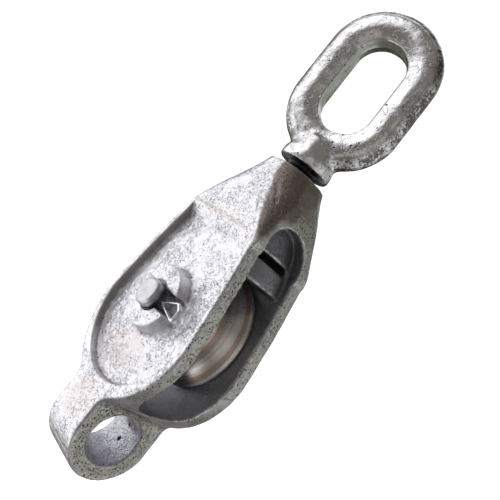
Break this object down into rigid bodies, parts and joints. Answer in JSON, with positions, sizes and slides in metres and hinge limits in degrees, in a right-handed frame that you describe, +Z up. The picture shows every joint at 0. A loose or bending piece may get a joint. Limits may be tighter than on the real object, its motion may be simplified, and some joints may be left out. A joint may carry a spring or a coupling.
{
  "type": "pulley block",
  "caption": "Galvanised cast pulley block with one grooved sheave between two cheeks, a swivel eye on top and a becket lug with a cross bore below.",
  "frame": {"origin": "the top of the hole in the swivel eye, where the hook or shackle that carries the block bears", "axes": "+Z up the swivel axis; Y along the sheave's axle, with the pin's slotted boss and split pin on the -Y cheek; X across, the way the rope leaves; the eye is at rest turned about 32 degrees from the XZ plane"},
  "size_m": [0.0958, 0.0635, 0.3267],
  "materials": {
    "galvanised_casting": "hot-dip galvanised, rough as cast",
    "galvanised_sheave": "galvanised, satin, worn smooth in the groove",
    "galvanised_pin": "hot-dip galvanised",
    "plated_wire": "bright zinc plate",
    "galvanised_forging": "hot-dip galvanised, bright with dull patches",
    "dark_nut": "dull, oiled"
  },
  "bodies": {
    "eye": {"swivel_eye": "galvanised_forging", "swivel_nut": "dark_nut"},
    "block": {"head": "galvanised_casting", "front_cheek": "galvanised_casting", "back_cheek": "galvanised_casting", "becket_lug": "galvanised_casting", "axle_pin": "galvanised_pin", "split_pin": "plated_wire"},
    "wheel": {"sheave": "galvanised_sheave"}
  },
  "joints": [
    {"name": "eye_swivel", "type": "hinge", "parent": "eye", "child": "block", "pos_m": [0, 0, -0.1], "axis": [0, 0, 1], "continuous": true},
    {"name": "sheave_spin", "type": "hinge", "parent": "block", "child": "wheel", "pos_m": [0, 0, -0.2016], "axis": [0, 1, 0], "continuous": true}
  ]
}
